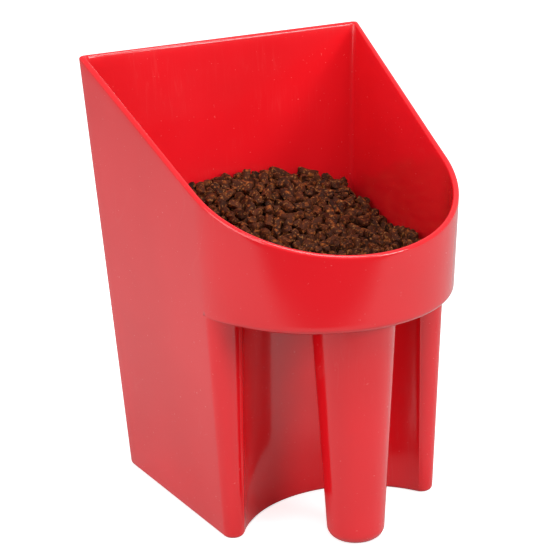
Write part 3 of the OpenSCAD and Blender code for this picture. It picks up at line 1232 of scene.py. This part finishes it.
# %% Dress and attach
for piece, material, body, slot in ((moulding, plastic, "scoop", "scoop_red"),
                                    (grip, plastic, "scoop", "scoop_red"),
                                    (top_pellets, pellet_brown, "feed", "feed_brown"),
                                    (side_pellets, pellet_brown, "feed", "feed_brown"),
                                    (feed_core, core_painted_shade, "feed", "feed_brown")):
    piece.data.materials.append(material)
    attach(piece, body)
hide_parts("back_wall", "left_side_wall", "right_side_wall", "front_apron",
            "left_corner_post", "right_corner_post", "bay_wall")
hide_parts("grip_post")
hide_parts("feed_heap", "grip_feed")
for node in ("grip_shelf", "bottom_plate"):
    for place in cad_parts[node].material_slots:
        place.material = plastic
print("five pieces ride on the two bodies, and the shelf and the bottom plate are red too")

# %% [markdown]
# ## A floor that is white to the eye
# Gloss shows what it reflects. A boundless white floor would fill the lower half of the red with
# white haze. So the floor is white only where the eye sees it: in reflections it ends close by,
# like a small table, and the light that it throws back on the scoop is weaker.

# %% The floor
FLOOR_HALF = 12
EDGE_X, EDGE_Y = 0.42, 0.91
EDGE_FAR, EDGE_NEAR = -0.33, -0.25
MIRRORED_WHITE = 0.62
LESS_IN_BOUNCES = 0.32
FLOOR_DARK = (0.06, 0.06, 0.06, 1)
FLOOR_PALE = (0.93, 0.93, 0.93, 1)
FLOOR_GLOW = 0.7
floor_mesh = bpy.data.meshes.new("studio_floor")
floor_corners = [(x * FLOOR_HALF, y * FLOOR_HALF, 0) for x, y in ((-1, -1), (1, -1), (1, 1), (-1, 1))]
floor_mesh.from_pydata(floor_corners, [], [(0, 1, 2, 3)])
floor = bpy.data.objects.new("studio_floor", floor_mesh)
bpy.context.scene.collection.objects.link(floor)


def pale_floor():
    """White to the eye. In reflections it ends at a line on the left, in front of the scoop."""
    m = Material("pale_floor")
    here = m.place()
    x = m.node("ShaderNodeSeparateXYZ", {}, {"Vector": here}, output="X")
    y = m.node("ShaderNodeSeparateXYZ", {}, {"Vector": here}, output="Y")
    seen = m.node("ShaderNodeLightPath", output="Is Camera Ray")
    bounced = m.node("ShaderNodeLightPath", output="Is Diffuse Ray")
    table = (x * EDGE_X + y * EDGE_Y).window(EDGE_FAR, EDGE_NEAR)
    white = (seen + table * (MIRRORED_WHITE - LESS_IN_BOUNCES * bounced)).clamp(0, 1)
    m.set(Base_Color=m.blend(white, FLOOR_DARK, FLOOR_PALE),
          Emission_Color=m.blend(seen, (0, 0, 0, 1), (1, 1, 1, 1)), Emission_Strength=FLOOR_GLOW,
          Roughness=0.8, Specular_IOR_Level=0.2)
    return m.made


floor_mesh.materials.append(pale_floor())
print("the floor reaches", FLOOR_HALF, "m to each side")

# %% [markdown]
# ## A bright room and soft lights
# A glossy piece needs lights with a size, because their shape is what its highlights show. The
# room gives even light from all round. One wide light stands by the left wall, one hangs over the
# cup and a little in front of it, and a small one stands at the right front.

# %% Room and lights
ROOM_LIGHT = 0.45
world = bpy.data.worlds.new("bright_room")
bpy.context.scene.world = world
world.use_nodes = True
world.node_tree.nodes["Background"].inputs["Color"].default_value = (1, 1, 1, 1)
world.node_tree.nodes["Background"].inputs["Strength"].default_value = ROOM_LIGHT
bpy.context.scene.view_settings.view_transform = "Standard"


def soft_light(name, place, aim, size, power):
    """A rectangular area light at a place in metres, facing its aim."""
    data = bpy.data.lights.new(name, "AREA")
    data.shape = "RECTANGLE"
    data.size, data.size_y = size
    data.energy = power
    light = bpy.data.objects.new(name, data)
    bpy.context.scene.collection.objects.link(light)
    light.location = place
    direction = mathutils.Vector(aim) - mathutils.Vector(place)
    light.rotation_euler = direction.to_track_quat("-Z", "Y").to_euler()
    print(name, size, "m,", power, "W")


soft_light("left_light", (-0.9, -0.15, 0.45), (0, 0, 0.1), (0.7, 0.9), 5.2)
soft_light("top_light", (0.05, -0.35, 1.05), (0, 0, 0.12), (0.7, 0.7), 7.8)
soft_light("right_light", (0.5, -0.8, 0.5), (0, 0, 0.12), (0.35, 0.3), 4.2)

# %% [markdown]
# ## The camera
# The camera stands to the left of the grip, about 85 centimetres away, and looks down into the
# cup. A long lens keeps the upright edges nearly upright. The shift moves the picture without a
# turn of the camera.

# %% Place the camera
view_yaw = 0.4378
view_pitch = 0.3660
view_roll = -0.0292
view_distance = 852.4
view_target = np.array([-19.4, 0.0, 90.4])
lens_mm = 118.01524
shift_x, shift_y = 0.0218412, 0.0873646
SENSOR = 36.0
CLIP_START = 0.05

forward = np.array([math.sin(view_yaw) * math.cos(view_pitch),
                    math.cos(view_yaw) * math.cos(view_pitch), -math.sin(view_pitch)])
level_right = np.array([math.cos(view_yaw), -math.sin(view_yaw), 0.0])
level_up = np.cross(level_right, forward)
cam_right = math.cos(view_roll) * level_right + math.sin(view_roll) * level_up
cam_up = np.cross(cam_right, forward)
camera_data = bpy.data.cameras.new("studio_camera")
camera_data.sensor_width = SENSOR
camera_data.lens = lens_mm
camera_data.shift_x = shift_x
camera_data.shift_y = shift_y
camera_data.clip_start = CLIP_START
camera = bpy.data.objects.new("studio_camera", camera_data)
bpy.context.scene.collection.objects.link(camera)
cam_place = (view_target - view_distance * forward) * MM
cam_rows = np.stack([cam_right, cam_up, -forward, cam_place], 1)
camera.matrix_world = mathutils.Matrix([*cam_rows.tolist(), [0, 0, 0, 1]])
bpy.context.scene.camera = camera
print("lens", round(camera_data.lens, 1), "mm, camera at", np.round(cam_place, 3))

# %% [markdown]
# ## The size of the skin
# The skin replaces the engineering solids only where they are seen, so it has to stay inside their
# box.
